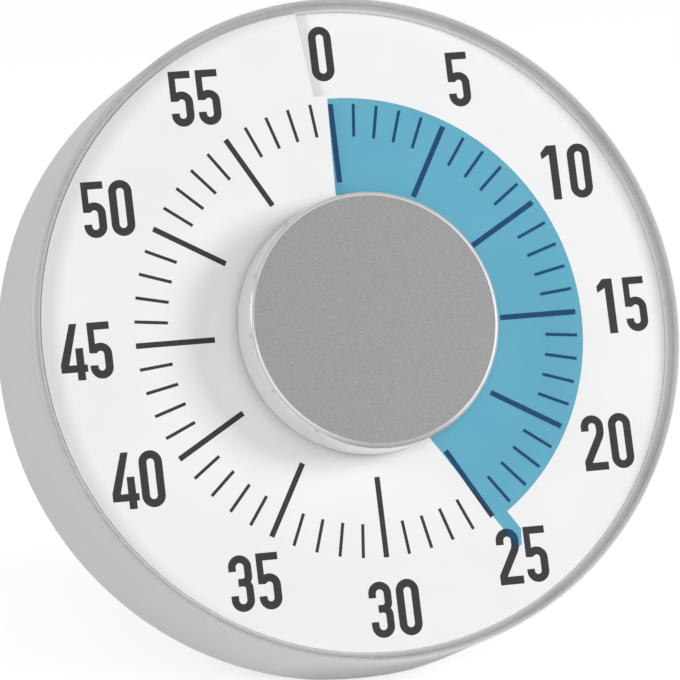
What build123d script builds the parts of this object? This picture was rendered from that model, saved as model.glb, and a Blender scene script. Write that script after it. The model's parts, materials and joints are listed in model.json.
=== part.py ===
from build123d import *
from math import acos, asin, atan2, cos, degrees, hypot, pi, radians, sin, sqrt, tan
import os

# Wind-up visual countdown timer, standing on the lower edge of its round case and on a fold-out leg.
#
# World frame: +Z up, the dial faces -Y and leans back, the origin is the middle of the heel flat on the
# lowest edge of the case. Dial frame: u to the right, v up along the dial, w out of the dial towards the
# reader, with w = 0 at mid height of the dial sheet. Every sketch is placed on a plane of the dial frame.
# Millimetres and degrees throughout.

# ---- driving dimensions -------------------------------------------------------------------------------

lean_angle = 22.0           # how far the dial leans back from upright
slip = 0.05                 # radial clearance of a shaft, pin or screw in its hole
seat_gap = 0.1              # clearance of a piece dropped into its seat
free_gap = 0.4              # clearance beside a piece that swings

# dial sheet
dial_radius = 90.85
dial_thickness = 1.2
dial_lead = 2.6             # rise of the dial sheet over one turn, which opens the slit at 0
dial_tail_angle = 12.0      # the low end of the sheet runs this far under the lip
dial_peg_count = 8
dial_peg_radius = 1.6
lip_start_offset = 3.6      # the lip of the slit starts this far left of the centre line ...
lip_step_offset = 1.45      # ... comes this near to it at the rim of the time disc ...
lip_notch_offset = 5.35     # ... steps back by the width of the pointer tab ...
lip_rim_offset = 7.9        # ... and ends here at the rim of the dial

# case
dial_fit = 0.05             # radial clearance of the dial sheet in the bezel ring
bezel_width = 1.5
rim_width = 1.5             # front rim of the case, outside the bezel ring
case_draft = 1.1            # the case widens by this much towards its back
case_wall = 2.5
seam_height = 3.0           # joint of the bezel ring and the case, above the middle of the dial sheet
crest_height = 4.5          # front crest of the case above the middle of the dial sheet
crest_flat = 0.5            # bevel on the front crest
back_round = 1.2            # rounding of the case's back edge
heel_cut = 1.5              # height of the flat cut on the lowest edge of the case
ledge_width = 6.85          # the ledge that carries the dial sheet reaches in under it by this much
ledge_depth = 5.0           # top of that ledge, below the middle of the dial sheet
ledge_thickness = 2.0
boss_radius = 4.0           # bosses for the screws of the rear cover
boss_overlap = 0.2          # they are rooted this far in the wall
boss_count = 4
cover_screw_radius = 1.5

# time disc
number_ring_width = 24.85   # ring of the dial that the time disc leaves free for the numbers
film_thickness = 0.5
film_span = 352.0           # angle of the time disc from its leading edge to its trailing edge
film_overhang = 1.4         # it reaches this far past the printed minute marks
film_hub_radius = 13.0
film_hub_margin = 0.6       # the hub stands this far above and below the film that it holds
hub_clearance = 4.0         # radial clearance of the hub in the hole of the dial
edge_offset = 4.0           # the leading edge is a chord at this distance from the centre
tab_shoulder_reach = 6.2    # the pointer tab narrows from this far past the rim of the disc ...
tab_reach = 9.7             # ... to here
tab_tip_width = 1.3
lip_step_gap = 0.6          # the lip of the slit steps back this far past the rim of the disc
minutes_at_rest = 25.0
minutes_full = 60.0

# knob
knob_radius = 36.05
knob_edge = 1.9             # width of the edge round the inlay
knob_crown_round = 1.25     # rounding of its outer corner
knob_height = 17.5
knob_clearance = 1.6        # gap between the rim of the knob and the time disc at its highest
knob_draft = 0.05           # the wall of the knob leans in by this much towards the top
knob_wall = 1.4
knob_foot_round = 0.4       # rounding of the outer edge of the knob's foot
inlay_thickness = 0.8
core_plate = 2.0
core_rib_inset = 2.1        # the ribs end this far inside the rim of the knob
core_rib_count = 6
core_rib_width = 1.6
core_tube_radius = 8.0
core_tube_margin = 1.8      # the tube ends this far past the lowest place of the film's hub
key_width = 2.4
key_height = 1.2
key_count = 3

# movement
arbor_radius = 3.0
arbor_collar_radius = 5.0
arbor_collar_length = 2.6
cam_spacer_radius = 4.6
collar_thickness = 1.0
plate_thickness = 1.5
plate_gap = 16.5            # between the two plates
plate_left, plate_right = 34.0, 42.0
plate_bottom, plate_top = 32.0, 40.0
plate_corner = 6.0
pillar_inset = 5.0
pillar_radius = 3.0
pillar_stud_radius = 1.5
pillar_stud_length = 6.0
screw_radius = 1.25
screw_head_radius = 2.3
screw_head_height = 1.2
screw_length = 6.0
pivot_radius = 0.8
staff_radius = 1.2
pressure_angle = 25.0
tooth_addendum = 0.8        # in modules
tooth_dedendum = 1.1        # in modules
tooth_play = 0.12           # circumferential play of each mesh

great_module = 0.6
module_step = 1.2           # the teeth after the great wheel are finer by this factor
great_teeth = 60
second_pinion_teeth = 12
second_teeth = 50
third_pinion_teeth = 10
third_teeth = 40
escape_pinion_teeth = 10
escape_teeth = 15
escape_radius = 6.2
second_direction = 90.0     # directions from each arbor to the next, counter-clockwise from +u
third_direction = 20.0
escape_direction = -30.0
pallet_direction = -60.0
balance_direction = -100.0
pallet_distance = 9.4
balance_distance = 11.0
balance_gap = 1.3           # between the balance and the spring barrel
balance_rim = 1.4
wheel_thickness = 1.2
pinion_length = 3.0
top_wheel_gap = 1.1         # between the front plate and the wheels of the upper level
middle_wheel_drop = 3.0     # from the wheels of the upper level to those of the middle level
lower_wheel_drop = 3.8
cam_radius = 7.6
barrel_gap = 2.4            # between the spring barrel and the second arbor
barrel_wall = 1.0
barrel_height = 8.4
mainspring_strip = 0.5
mainspring_turns = 6
hairspring_strip = 0.15
hairspring_turns = 5
strip_height = 0.6
pallet_pin_radius = 0.35
pallet_pin_swing = 38.0     # the two pallet pins stand this far either side of the line of centres
lever_width = 1.6
roller_radius = 1.9

# bell and hammer
bell_room = 8.7             # between the bell and the wall of the case, and the bell and the plates
bell_depth = 10.0
bell_wall = 1.0
bell_drop = 6.5             # from the front of the movement's wheels to the crown of the bell
bell_post_radius = 3.5
hammer_pivot_u, hammer_pivot_v = -26.0, 14.0
hammer_head_radius = 2.2
hammer_gap = 1.2            # between the head and the rim of the bell at rest
hammer_head_side = -5.0     # u of the head
hammer_drop = 6.0           # from the crown of the bell to the hammer's arm
hammer_arm_width = 2.4

# rear cover, leg and fixings
cover_thickness = 2.0
cover_fit = 0.3             # radial clearance of the cover in the case
cover_room = 4.6            # between the movement and the recess of the rear cover
cover_screw_head = 2.8
cover_screw_seat = 1.2
keyhole_height = 40.0
keyhole_radius = 4.5
keyhole_slot_width = 4.5
keyhole_slot_length = 11.0
sound_hole_radius = 1.6
sound_hole_count = 6
magnet_radius = 8.0
magnet_thickness = 3.0
magnet_side = 58.0
magnet_height = 28.0
magnet_wall = 2.0
leg_pin_inset = 2.8         # depth of the pin's axis inside the back plane
leg_pin_radius = 1.5
leg_knuckle_radius = 2.4
leg_thickness = 2.6
leg_top_half_width = 15.0
leg_tip_half_width = 9.0
leg_reach = 40.0            # distance of the foot behind the heel, on the table
recess_depth = 5.6
recess_margin = 1.2
recess_corner = 2.0
recess_gap = 0.7            # between the lower end of the recess and the wall of the case
recess_wall = 1.6
pad_height = 1.8
pad_lip = 0.8               # the rubber shoe is this much larger than the leg all round

# ---- sizes that follow ---------------------------------------------------------------------------------

bezel_inner_radius = dial_radius + dial_fit
seam_radius = bezel_inner_radius + bezel_width
case_radius_front = seam_radius + rim_width
case_radius_back = case_radius_front + case_draft
case_inner_radius = case_radius_front - case_wall
cover_radius = case_radius_back - case_wall
ledge_radius = dial_radius - ledge_width
dial_hole_radius = film_hub_radius + hub_clearance

film_radius = dial_radius - number_ring_width
tick_radius = film_radius - film_overhang       # outer end of the minute marks, where the edge is read
tab_shoulder = film_radius + tab_shoulder_reach
tab_length = film_radius + tab_reach
lip_step_radius = film_radius + lip_step_gap

# the time disc climbs its hub as the knob turns: it rests at one height and travels up and down from it
turn_at_rest = minutes_at_rest / minutes_full
film_hub_front = dial_lead * turn_at_rest + film_thickness / 2 + film_hub_margin
film_hub_back = dial_lead * (film_span / 360 - turn_at_rest) + film_thickness / 2 + film_hub_margin
film_hub_lowest = film_hub_back + dial_lead * turn_at_rest
knob_base = dial_lead + film_thickness / 2 + knob_clearance
core_rib_base = knob_base + core_rib_inset
core_tube_end = film_hub_lowest + core_tube_margin

# depths below the middle of the dial sheet
front_plate_depth = core_tube_end + arbor_collar_length + free_gap / 2
front_plate_back = front_plate_depth + plate_thickness
back_plate_depth = front_plate_back + plate_gap
movement_back = back_plate_depth + plate_thickness
upper_level = front_plate_back + top_wheel_gap
middle_level = upper_level + middle_wheel_drop
lower_level = middle_level + lower_wheel_drop
bell_crown_depth = front_plate_back + bell_drop
hammer_level = bell_crown_depth + hammer_drop
recess_front = movement_back + cover_room
recess_floor = recess_front + recess_wall
case_depth = recess_floor + recess_depth
cover_front = case_depth - cover_thickness

# ---- frame of the dial ---------------------------------------------------------------------------------

lean_sin, lean_cos = sin(radians(lean_angle)), cos(radians(lean_angle))
heel_front = heel_cut / lean_sin * lean_cos
heel_back = heel_cut / lean_cos * lean_sin
dial_origin = Vector(
    0,
    case_radius_back * lean_sin - case_depth * lean_cos + (heel_front - heel_back) / 2,
    case_radius_back * lean_cos + case_depth * lean_sin - heel_cut,
)
dial_normal = Vector(0, -lean_cos, lean_sin)
dial_up = Vector(0, lean_sin, lean_cos)
side = Vector(1, 0, 0)
dial_plane = Plane(origin=dial_origin, x_dir=side, z_dir=dial_normal)
dial_axis = Axis(dial_origin, dial_normal)
section_plane = Plane(origin=dial_origin, x_dir=side, z_dir=-dial_up)


def level(depth):
    """Plane parallel to the dial, at this depth below the middle of the dial sheet."""
    return dial_plane.offset(-depth)


def polar(radius, angle):
    """Point of the dial at a clockwise angle from 12 o'clock, as a reader sees it."""
    return radius * sin(radians(angle)), radius * cos(radians(angle))


def dial_plane_along(angle, height=0.0):
    """Plane parallel to the dial whose x axis runs out at a clockwise angle from 12 o'clock."""
    across, along = polar(1.0, angle)
    origin = dial_origin + dial_normal * height
    return Plane(origin=origin, x_dir=side * across + dial_up * along, z_dir=dial_normal)


def turned(point, distance, direction):
    """Point at a distance from another, in a direction counter-clockwise from +u."""
    return point[0] + distance * cos(radians(direction)), point[1] + distance * sin(radians(direction))


def section_at(point):
    """Plane that holds the axis of a part standing at a point of the dial; x is the radius, y is w."""
    place = dial_plane.from_local_coords(Vector(point[0], point[1], 0))
    return Plane(origin=place, x_dir=side, z_dir=-dial_up)


def axis_at(point):
    """Axis through a point of the dial, square to it."""
    return Axis(dial_plane.from_local_coords(Vector(point[0], point[1], 0)), dial_normal)


def disc(point, radius, depth, thickness, mode=Mode.ADD):
    """Round plate or shaft whose front face lies at a depth, for the part that is open."""
    with BuildSketch(level(depth)) as profile:
        with Locations(point):
            Circle(radius)
    extrude(profile.sketch, amount=-thickness, mode=mode)


def helical_sheet(inner, outer, thickness, start, stop, height=0.0):
    """Sheet that rises by the dial's lead in a clockwise turn, between two angles; its middle lies at
    the given height at 12 o'clock."""
    with BuildLine() as helix:
        Helix(dial_lead, dial_lead * (stop - start) / 360, (inner + outer) / 2, lefthand=True)
    path = helix.wire()
    with BuildPart() as sheet:
        with BuildSketch(Plane(origin=path @ 0, x_dir=(1, 0, 0), z_dir=path % 0)):
            Rectangle(outer - inner, thickness)
        sweep(path=path, is_frenet=True)
    base = dial_plane_along(start, height + dial_lead * start / 360)
    return base.location * sheet.part


# ---- case ----------------------------------------------------------------------------------------------

boss_circle = case_inner_radius - boss_radius + boss_overlap
boss_angles = [45 + 360 / boss_count * i for i in range(boss_count)]
boss_points = [polar(boss_circle, angle) for angle in boss_angles]

with BuildPart() as case_shell:
    with BuildSketch(section_plane):
        with BuildLine():
            Polyline(
                (seam_radius + slip, -ledge_depth),
                (seam_radius + slip, seam_height),
                (case_radius_front - crest_flat, crest_height),
                (case_radius_front, crest_height - crest_flat),
                (case_radius_back, -case_depth),
                (cover_radius, -case_depth),
                (cover_radius, -cover_front),
                (case_inner_radius, -cover_front),
                (case_inner_radius, -ledge_depth - ledge_thickness),
                (ledge_radius, -ledge_depth - ledge_thickness),
                (ledge_radius, -ledge_depth),
                close=True,
            )
        make_face()
        fillet(vertices().group_by(Axis.Y)[0].sort_by(Axis.X)[-1], radius=back_round)
    revolve(axis=dial_axis)
    with BuildSketch(level(cover_front)):
        with Locations(*boss_points):
            Circle(boss_radius)
    extrude(amount=cover_front - ledge_depth - ledge_thickness)
    with BuildSketch(level(cover_front)):
        with Locations(*boss_points):
            Circle(cover_screw_radius + slip)
    extrude(amount=screw_length * 2, mode=Mode.SUBTRACT)
    with BuildSketch(Plane.XY):
        Rectangle(4 * case_radius_back, 4 * case_radius_back)
    extrude(amount=-10 * heel_cut, mode=Mode.SUBTRACT)

with BuildPart() as bezel_ring:
    with BuildSketch(section_plane):
        with BuildLine():
            Polyline(
                (bezel_inner_radius, -ledge_depth),
                (bezel_inner_radius, dial_thickness / 2),
                (seam_radius, seam_height),
                (seam_radius, -ledge_depth),
                close=True,
            )
        make_face()
    revolve(axis=dial_axis)

# ---- dial sheet: one turn of a shallow helicoid, open at 0 ---------------------------------------------

dial_sheet = helical_sheet(
    dial_hole_radius, dial_radius, dial_thickness, -dial_tail_angle, 360, -dial_lead / 2
)
peg_circle = (ledge_radius + dial_radius) / 2
lip_margin = 2 * dial_thickness

with BuildPart() as dial_plate:
    add(dial_sheet)
    # the lip is cut back beside the 0 mark, with a step that lets the pointer tab stand at 0
    with BuildSketch(dial_plane):
        with BuildLine():
            Polyline(
                (-lip_start_offset, 0),
                (-lip_step_offset, lip_step_radius),
                (-lip_notch_offset, lip_step_radius),
                (-lip_rim_offset, dial_radius),
                (-lip_rim_offset, dial_radius + lip_margin),
                (lip_margin, dial_radius + lip_margin),
                (lip_margin, 0),
                close=True,
            )
        make_face()
    extrude(amount=dial_lead, mode=Mode.SUBTRACT)
    for peg in range(dial_peg_count):
        peg_angle = 360 / dial_peg_count * (peg + 0.5)
        with BuildSketch(level(ledge_depth)):
            with Locations(polar(peg_circle, peg_angle)):
                Circle(dial_peg_radius)
        extrude(amount=ledge_depth + dial_lead * (peg_angle / 360 - 0.5))

# ---- time disc: one turn of the same helicoid, half a lead above the dial where it shows --------------

rest_angle = 360 * turn_at_rest
trailing_angle = rest_angle - film_span
edge_angle = rest_angle - degrees(asin(edge_offset / tick_radius))
edge_lap = degrees(asin(edge_offset / film_hub_radius))       # the chord meets the hub this far round
edge_plane = dial_plane_along(edge_angle)                     # x runs out along the pointer tab
film_sheet = helical_sheet(
    film_hub_radius, 1.02 * tab_length, film_thickness, trailing_angle, edge_angle + 1.1 * edge_lap
)

with BuildPart() as film_disc:
    with BuildSketch(edge_plane.offset(-2 * dial_lead)):
        Circle(film_radius)
        Circle(film_hub_radius, mode=Mode.SUBTRACT)
        with BuildLine():
            Polyline(
                (film_hub_radius, 0),
                (tab_shoulder, 0),
                (tab_length, -edge_offset + tab_tip_width),
                (tab_length, -edge_offset),
                (film_hub_radius, -edge_offset),
                close=True,
            )
        make_face()
    extrude(amount=4 * dial_lead)
    add(film_sheet, mode=Mode.INTERSECT)
    # the leading edge is cut along its chord, in the upper layer only
    with BuildSketch(edge_plane):
        with Locations((0, -edge_offset)):
            Rectangle(2 * film_radius, 2 * film_radius, align=(Align.MIN, Align.MAX))
    extrude(amount=2 * dial_lead, mode=Mode.SUBTRACT)

with BuildPart() as film_hub:
    disc((0, 0), film_hub_radius, -film_hub_front, film_hub_front + film_hub_back)
    with BuildSketch(level(-film_hub_front)):
        Circle(core_tube_radius + slip)
        with PolarLocations(core_tube_radius, key_count, start_angle=90 - edge_angle):
            Rectangle(2 * (key_height + slip), key_width + 2 * slip)
    extrude(amount=-film_hub_front - film_hub_back, mode=Mode.SUBTRACT)

# ---- knob ----------------------------------------------------------------------------------------------

knob_top_radius = knob_radius - knob_draft - knob_edge
inlay_radius = knob_top_radius - slip
cap_inner_radius = knob_radius - knob_draft - knob_wall
cap_ceiling = knob_height - inlay_thickness - knob_wall
core_radius = cap_inner_radius - seat_gap
core_underside = cap_ceiling - core_plate

with BuildPart() as knob_cap:
    with BuildSketch(section_plane):
        with BuildLine():
            Polyline(
                (0, knob_height - inlay_thickness),
                (knob_top_radius, knob_height - inlay_thickness),
                (knob_top_radius, knob_height),
                (knob_radius - knob_draft, knob_height),
                (knob_radius, knob_base),
                (knob_radius - knob_wall, knob_base),
                (cap_inner_radius, cap_ceiling),
                (0, cap_ceiling),
                close=True,
            )
        make_face()
        foot_corner = vertices().group_by(Axis.Y)[0].sort_by(Axis.X)[-1]
        fillet(foot_corner, radius=knob_foot_round)
        crown_corner = vertices().group_by(Axis.Y)[-1].sort_by(Axis.X)[-1]
        fillet(crown_corner, radius=knob_crown_round)
    revolve(axis=dial_axis)

with BuildPart() as knob_inlay:
    disc((0, 0), inlay_radius, -knob_height, inlay_thickness)
    chamfer(faces().sort_by(dial_axis)[-1].edges(), length=0.25 * inlay_thickness)

flat_distance = 0.75 * arbor_radius     # the flat on the front end of the arbor, from its axis
with BuildPart() as knob_core:
    disc((0, 0), core_radius, -cap_ceiling, core_plate)
    disc((0, 0), core_tube_radius, -core_underside, core_underside + core_tube_end)
    with BuildSketch(level(-core_underside)):
        Circle(core_radius)
        Circle(core_radius - core_rib_width, mode=Mode.SUBTRACT)
        with PolarLocations(core_radius / 2, core_rib_count):
            Rectangle(core_radius, core_rib_width)
    extrude(amount=core_rib_base - core_underside)
    with BuildSketch(level(-core_rib_base)):
        with PolarLocations(core_tube_radius, key_count, start_angle=90 - edge_angle):
            Rectangle(2 * key_height, key_width)
    extrude(amount=-core_rib_base - core_tube_end)
    with BuildSketch(level(-core_underside)):
        Circle(arbor_radius + slip)
        with Locations((0, flat_distance + slip)):
            Rectangle(4 * arbor_radius, 2 * arbor_radius, align=(Align.CENTER, Align.MIN), mode=Mode.SUBTRACT)
    extrude(amount=-core_underside - core_tube_end, mode=Mode.SUBTRACT)

# ---- movement: where its arbors stand -----------------------------------------------------------------

fine_module = great_module / module_step
centre = (0, 0)
second_distance = (great_teeth + second_pinion_teeth) * great_module / 2
second_point = turned(centre, second_distance, second_direction)
third_point = turned(second_point, (second_teeth + third_pinion_teeth) * fine_module / 2, third_direction)
escape_point = turned(third_point, (third_teeth + escape_pinion_teeth) * fine_module / 2, escape_direction)
pallet_point = turned(escape_point, pallet_distance, pallet_direction)
balance_point = turned(pallet_point, balance_distance, balance_direction)
hammer_point = (hammer_pivot_u, hammer_pivot_v)
bell_point = (0, (plate_top + case_inner_radius) / 2)
bell_radius = (case_inner_radius - plate_top) / 2 - bell_room
plate_middle = ((plate_right - plate_left) / 2, (plate_top - plate_bottom) / 2)
plate_width, plate_height = plate_left + plate_right, plate_top + plate_bottom
pillar_points = [
    (plate_middle[0] + across * (plate_width / 2 - pillar_inset),
     plate_middle[1] + along * (plate_height / 2 - pillar_inset))
    for across in (-1, 1) for along in (-1, 1)
]
pivot_points = [second_point, third_point, escape_point, pallet_point, balance_point]


def movement_plate(depth, pillar_hole):
    """Plate of the movement with its pivot holes, for the part that is open."""
    with BuildSketch(level(depth)) as profile:
        with Locations(plate_middle):
            RectangleRounded(plate_width, plate_height, plate_corner)
        with Locations(*pivot_points):
            Circle(pivot_radius + slip, mode=Mode.SUBTRACT)
        with Locations(hammer_point):
            Circle(staff_radius + slip, mode=Mode.SUBTRACT)
        with Locations(*pillar_points):
            Circle(pillar_hole + slip, mode=Mode.SUBTRACT)
        Circle(arbor_radius + slip, mode=Mode.SUBTRACT)
    extrude(profile.sketch, amount=-plate_thickness)


with BuildPart() as front_plate:
    movement_plate(front_plate_depth, screw_radius)

with BuildPart() as back_plate:
    movement_plate(back_plate_depth, pillar_stud_radius)

with BuildPart() as movement_pillars:
    for point in pillar_points:
        disc(point, pillar_radius, front_plate_back, plate_gap)
        disc(point, pillar_stud_radius, back_plate_depth, plate_thickness + pillar_stud_length)
        disc(point, screw_radius + slip, front_plate_back, screw_length, mode=Mode.SUBTRACT)


def slotted_screw(point, shank_radius, head_radius, head_depth, head_height, length, outward=1):
    """Pan head screw with a driver slot; its head stands out of the surface at a depth, towards the
    reader (outward = 1) or towards the back (outward = -1)."""
    disc(point, head_radius, head_depth, -outward * head_height)
    disc(point, shank_radius, head_depth, outward * length)
    with BuildSketch(level(head_depth - outward * head_height)) as slot:
        with Locations(point):
            Rectangle(3 * head_radius, 0.3 * head_radius, rotation=30)
    extrude(slot.sketch, amount=-outward * head_height / 2, mode=Mode.SUBTRACT)


with BuildPart() as plate_screws:
    for point in pillar_points:
        slotted_screw(point, screw_radius, screw_head_radius, front_plate_depth, screw_head_height,
                      plate_thickness + 0.9 * screw_length)

# ---- movement: wheels ----------------------------------------------------------------------------------


def involute(angle):
    return tan(angle) - angle


def tooth_profile(teeth, module):
    """One involute tooth, pointing along +X, with its foot inside the root circle."""
    pitch_radius = teeth * module / 2
    base_radius = pitch_radius * cos(radians(pressure_angle))
    root_radius = pitch_radius - tooth_dedendum * module
    tip_radius = pitch_radius + tooth_addendum * module
    half_at_pitch = (pi * module - tooth_play) / (4 * pitch_radius)
    foot_radius = max(base_radius, root_radius)

    def flank(radius, hand):
        swing = involute(radians(pressure_angle)) - involute(acos(base_radius / radius))
        angle = hand * (half_at_pitch + swing)
        return radius * cos(angle), radius * sin(angle)

    flank_radii = [foot_radius + (tip_radius - foot_radius) * step / 3 for step in range(4)]
    with BuildSketch() as tooth:
        with BuildLine():
            left = Spline(*[flank(radius, 1) for radius in flank_radii])
            right = Spline(*[flank(radius, -1) for radius in flank_radii])
            Line(left @ 1, right @ 1)
            foot_left = ((left @ 0).X * 0.9 * root_radius / foot_radius, (left @ 0).Y)
            foot_right = (foot_left[0], -foot_left[1])
            Polyline(left @ 0, foot_left, foot_right, right @ 0)
        make_face()
    return tooth.sketch


def gear(point, tooth, teeth, module, depth, thickness, tooth_direction, windows=0):
    """Spur gear whose front face lies at a depth, with the middle of a tooth in a direction."""
    root_radius = teeth * module / 2 - tooth_dedendum * module
    with BuildSketch(level(depth)) as profile:
        with Locations(point):
            Circle(root_radius)
            with PolarLocations(0, teeth, start_angle=tooth_direction):
                add(tooth)
            if windows:
                with PolarLocations(0.58 * root_radius, windows):
                    Circle(0.25 * root_radius, mode=Mode.SUBTRACT)
    extrude(profile.sketch, amount=-thickness)


def staff(point, radius=staff_radius):
    """Arbor between the plates with a thin pivot in each; it runs clear of both plates."""
    disc(point, radius, front_plate_back + free_gap / 2, plate_gap - free_gap)
    disc(point, pivot_radius, front_plate_depth, plate_gap + 2 * plate_thickness)


def pinion(point, tooth, teeth, module, wheel_depth, tooth_direction):
    """Pinion centred on the wheel that drives it."""
    depth = wheel_depth + (wheel_thickness - pinion_length) / 2
    gear(point, tooth, teeth, module, depth, pinion_length, tooth_direction)


great_tooth = tooth_profile(great_teeth, great_module)
second_pinion_tooth = tooth_profile(second_pinion_teeth, great_module)
second_tooth = tooth_profile(second_teeth, fine_module)
third_pinion_tooth = tooth_profile(third_pinion_teeth, fine_module)
third_tooth = tooth_profile(third_teeth, fine_module)
escape_pinion_tooth = tooth_profile(escape_pinion_teeth, fine_module)

arbor_front = core_underside
collar_depth = lower_level - collar_thickness - free_gap
cam_back = upper_level + wheel_thickness
notch_direction = degrees(atan2(hammer_pivot_v, hammer_pivot_u)) - rest_angle

with BuildPart() as arbor:
    disc(centre, arbor_radius, -arbor_front, arbor_front + movement_back)
    disc(centre, arbor_collar_radius, core_tube_end, front_plate_depth - free_gap / 2 - core_tube_end)
    disc(centre, cam_spacer_radius, cam_back, middle_level - cam_back)
    with BuildSketch(level(-arbor_front)):
        with Locations((0, flat_distance)):
            Rectangle(4 * arbor_radius, 2 * arbor_radius, align=(Align.CENTER, Align.MIN))
    extrude(amount=-arbor_front - core_tube_end, mode=Mode.SUBTRACT)

with BuildPart() as great_wheel:
    gear(centre, great_tooth, great_teeth, great_module, middle_level, wheel_thickness, second_direction, 5)
    disc(centre, arbor_radius + slip, middle_level, wheel_thickness, mode=Mode.SUBTRACT)

with BuildPart() as clutch_spring:
    star_depth = middle_level + wheel_thickness
    with BuildSketch(level(star_depth)):
        Circle(cam_spacer_radius)
        with PolarLocations(cam_spacer_radius, 4):
            Rectangle(cam_spacer_radius, 2)
        Circle(arbor_radius + slip, mode=Mode.SUBTRACT)
    extrude(amount=star_depth - collar_depth)

with BuildPart() as clutch_collar:
    disc(centre, arbor_collar_radius, collar_depth, collar_thickness)
    disc(centre, arbor_radius + slip, collar_depth, collar_thickness, mode=Mode.SUBTRACT)

with BuildPart() as alarm_cam:
    with BuildSketch(level(upper_level)):
        Circle(cam_radius)
        # the hammer's tail drops into this notch when the time is over
        with Locations(turned(centre, cam_radius, notch_direction)):
            Circle(0.25 * cam_radius, mode=Mode.SUBTRACT)
        Circle(arbor_radius + slip, mode=Mode.SUBTRACT)
    extrude(amount=-wheel_thickness)

with BuildPart() as second_pinion:
    staff(second_point)
    pinion(second_point, second_pinion_tooth, second_pinion_teeth, great_module, middle_level,
           second_direction + 180 + 180 / second_pinion_teeth)

with BuildPart() as second_wheel:
    gear(second_point, second_tooth, second_teeth, fine_module, upper_level, wheel_thickness,
         third_direction, 5)
    disc(second_point, staff_radius + slip / 2, upper_level, wheel_thickness, mode=Mode.SUBTRACT)

with BuildPart() as third_pinion:
    staff(third_point)
    pinion(third_point, third_pinion_tooth, third_pinion_teeth, fine_module, upper_level,
           third_direction + 180 + 180 / third_pinion_teeth)

with BuildPart() as third_wheel:
    gear(third_point, third_tooth, third_teeth, fine_module, middle_level, wheel_thickness,
         escape_direction, 4)
    disc(third_point, staff_radius + slip / 2, middle_level, wheel_thickness, mode=Mode.SUBTRACT)

with BuildPart() as escape_pinion:
    staff(escape_point)
    pinion(escape_point, escape_pinion_tooth, escape_pinion_teeth, fine_module, middle_level,
           escape_direction + 180 + 180 / escape_pinion_teeth)

escape_root = 0.72 * escape_radius
escape_foot = 0.6
with BuildSketch() as escape_tooth:
    with BuildLine():
        Polyline(
            (0.9 * escape_root, -escape_foot),
            (escape_radius, escape_foot),
            (0.9 * escape_root, escape_foot),
            close=True,
        )
    make_face()

with BuildPart() as escape_wheel:
    with BuildSketch(level(lower_level)):
        with Locations(escape_point):
            Circle(escape_root)
            with PolarLocations(0, escape_teeth):
                add(escape_tooth.sketch)
            Circle(staff_radius + slip / 2, mode=Mode.SUBTRACT)
            with PolarLocations(0.6 * escape_root, 4):
                Circle(0.2 * escape_root, mode=Mode.SUBTRACT)
    extrude(amount=-wheel_thickness)

# ---- movement: lever, balance and springs --------------------------------------------------------------


def link(start, end, width):
    """Flat arm with round ends from one point of the dial to another, for the sketch that is open."""
    reach_u, reach_v = end[0] - start[0], end[1] - start[1]
    with Locations(((start[0] + end[0]) / 2, (start[1] + end[1]) / 2)):
        SlotCenterToCenter(hypot(reach_u, reach_v), width, rotation=degrees(atan2(reach_v, reach_u)))


lever_level = lower_level - wheel_thickness - free_gap
pallet_pins = [
    turned(escape_point, escape_radius + pallet_pin_radius + 2 * free_gap, pallet_direction + swing)
    for swing in (-pallet_pin_swing, pallet_pin_swing)
]
lever_tail = turned(pallet_point, balance_distance - roller_radius - free_gap - lever_width / 2,
                    balance_direction)

with BuildPart() as pallet_lever:
    with BuildSketch(level(lever_level)):
        for point in pallet_pins + [lever_tail]:
            link(pallet_point, point, lever_width)
        with Locations(pallet_point):
            Circle(2 * staff_radius)
            Circle(staff_radius + slip / 2, mode=Mode.SUBTRACT)
    extrude(amount=-wheel_thickness)
    for point in pallet_pins:
        disc(point, pallet_pin_radius, lever_level, 3 * wheel_thickness)

with BuildPart() as pallet_arbor:
    staff(pallet_point)

barrel_radius = second_distance - staff_radius - barrel_gap
balance_radius = hypot(*balance_point) - barrel_radius - balance_gap
balance_level = lower_level + 2 * wheel_thickness
hairspring_depth = balance_level + 2 * wheel_thickness

with BuildPart() as balance_wheel:
    with BuildSketch(level(balance_level)):
        with Locations(balance_point):
            Circle(balance_radius)
            Circle(balance_radius - balance_rim, mode=Mode.SUBTRACT)
            Rectangle(2 * balance_radius - balance_rim, 1.2 * balance_rim)
            Circle(2 * staff_radius)
            Circle(staff_radius + slip / 2, mode=Mode.SUBTRACT)
    extrude(amount=-wheel_thickness)

with BuildPart() as balance_staff:
    staff(balance_point)
    disc(balance_point, roller_radius, lever_level, wheel_thickness)


def spiral_strip(point, inner, outer, turns, depth, strip, height):
    """Flat spiral spring made of half circles, each half a pitch larger than the last."""
    step = (outer - inner) / (2 * turns)
    with BuildLine(level(depth)) as spiral:
        for half in range(2 * turns):
            middle = point[0] + (step if half % 2 else 0)
            CenterArc((middle, point[1]), inner + step * half, 180 * half, 180)
    path = spiral.wire()
    with BuildPart() as spring:
        with BuildSketch(Plane(origin=path @ 0, x_dir=side, z_dir=path % 0)):
            Rectangle(strip, height)
        sweep(path=path)
    return spring


hairspring_outer = 0.62 * balance_radius
hairspring = spiral_strip(balance_point, staff_radius + slip + hairspring_strip, hairspring_outer,
                          hairspring_turns, hairspring_depth, hairspring_strip, strip_height)

with BuildPart() as hairspring_stud:
    stud_point = (balance_point[0] + hairspring_outer + 2 * hairspring_strip + 2 * slip + staff_radius / 2,
                  balance_point[1])
    disc(stud_point, staff_radius / 2, hairspring_depth - strip_height,
         back_plate_depth - hairspring_depth + strip_height)

barrel_depth = back_plate_depth - barrel_height
mainspring_inner = arbor_radius + 2 * slip + mainspring_strip / 2
mainspring_outer = barrel_radius - barrel_wall - mainspring_strip / 2 - 3 * seat_gap
mainspring_height = barrel_height - barrel_wall - 2 * free_gap

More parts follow.
